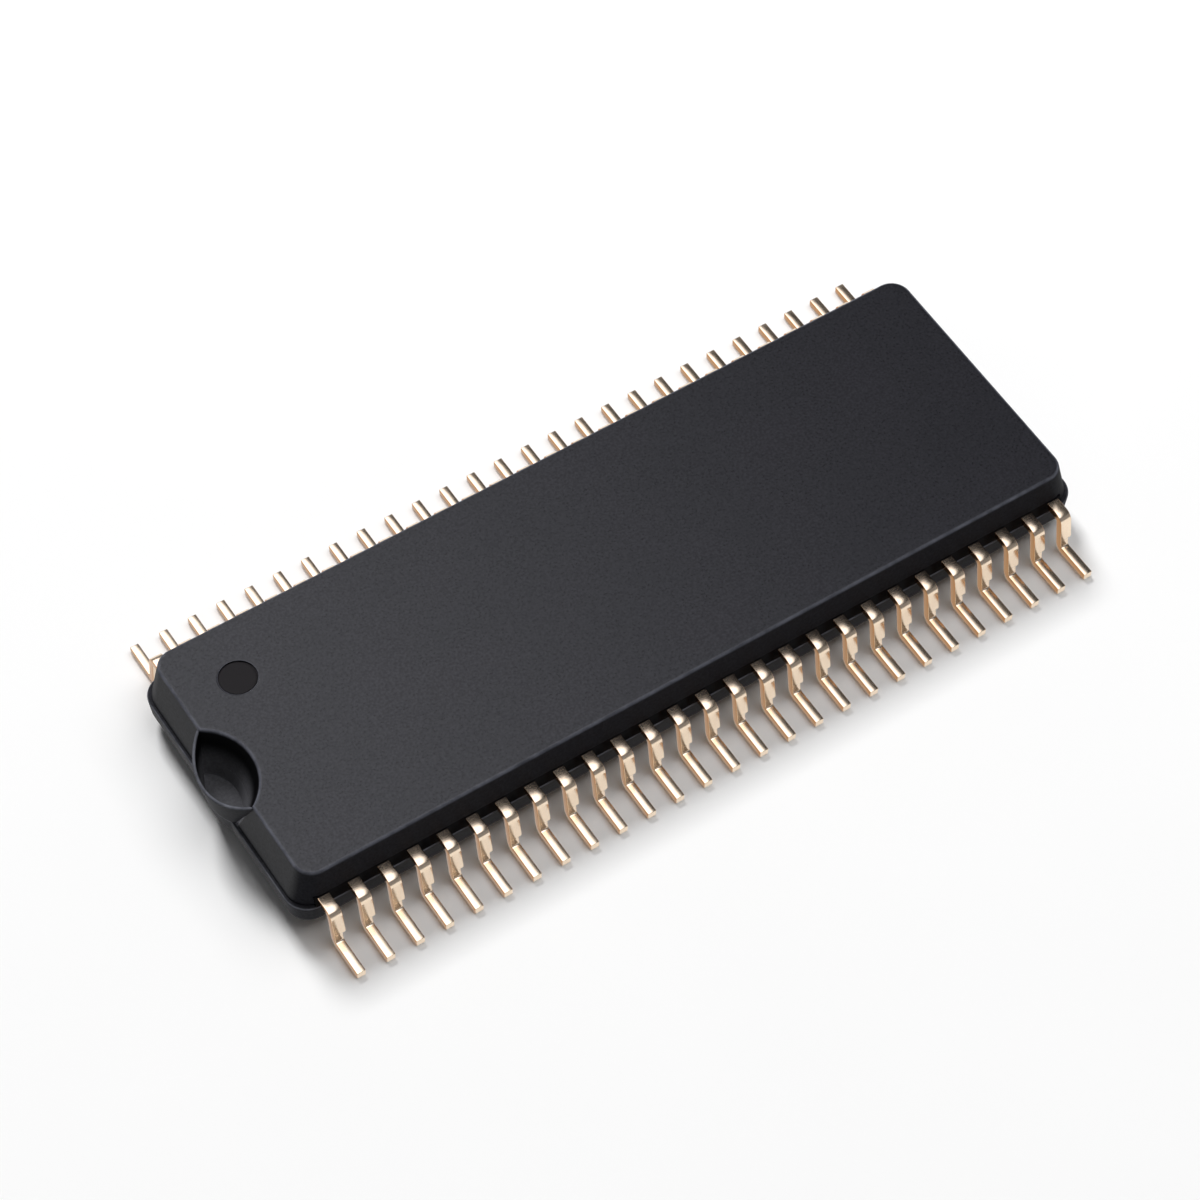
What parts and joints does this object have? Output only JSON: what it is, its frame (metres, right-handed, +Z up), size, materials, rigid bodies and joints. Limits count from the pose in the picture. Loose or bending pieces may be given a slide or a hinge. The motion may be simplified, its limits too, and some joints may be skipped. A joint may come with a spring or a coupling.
{
  "type": "ceramic dual in-line chip package with gull-wing leads",
  "caption": "Flat black ceramic chip package in two glass-sealed shells, with a round end notch, a round corner mark and rows of gold gull-wing leads.",
  "frame": {"origin": "on the seating plane of the lead feet, under the middle of the ceramic body", "axes": "+X along the length, away from the notched end; +Y towards the marked row of leads; +Z up out of the board"},
  "size_m": [0.0226, 0.0108, 0.0021],
  "materials": {
    "base_ceramic": "matte, fine pressed grain",
    "cap_ceramic": "matte, fine pressed grain",
    "seal_glass": "glossy black solder glass",
    "lead_metal": "satin pale gold plating over an iron-nickel alloy",
    "die_adhesive": "matte silver-filled glass paste",
    "silicon": "polished",
    "bond_wire": "drawn"
  },
  "bodies": {
    "root": {"ceramic_base": "base_ceramic", "ceramic_cap": "cap_ceramic", "seal_glass": "seal_glass", "die_attach": "die_adhesive", "silicon_die": "silicon", "bond_wires": "bond_wire", "lead_01": "lead_metal", "lead_02": "lead_metal", "lead_03": "lead_metal", "lead_04": "lead_metal", "lead_05": "lead_metal", "lead_06": "lead_metal", "lead_07": "lead_metal", "lead_08": "lead_metal", "lead_09": "lead_metal", "lead_10": "lead_metal", "lead_11": "lead_metal", "lead_12": "lead_metal", "lead_13": "lead_metal", "lead_14": "lead_metal", "lead_15": "lead_metal", "lead_16": "lead_metal", "lead_17": "lead_metal", "lead_18": "lead_metal", "lead_19": "lead_metal", "lead_20": "lead_metal", "lead_21": "lead_metal", "lead_22": "lead_metal", "lead_23": "lead_metal", "lead_24": "lead_metal", "lead_25": "lead_metal", "lead_26": "lead_metal", "lead_27": "lead_metal", "lead_28": "lead_metal", "lead_29": "lead_metal", "lead_30": "lead_metal", "lead_31": "lead_metal", "lead_32": "lead_metal", "lead_33": "lead_metal", "lead_34": "lead_metal", "lead_35": "lead_metal", "lead_36": "lead_metal", "lead_37": "lead_metal", "lead_38": "lead_metal", "lead_39": "lead_metal", "lead_40": "lead_metal", "lead_41": "lead_metal", "lead_42": "lead_metal", "lead_43": "lead_metal", "lead_44": "lead_metal", "lead_45": "lead_metal", "lead_46": "lead_metal", "lead_47": "lead_metal", "lead_48": "lead_metal", "lead_49": "lead_metal", "lead_50": "lead_metal", "lead_51": "lead_metal", "lead_52": "lead_metal", "lead_53": "lead_metal", "lead_54": "lead_metal"}
  },
  "joints": []
}
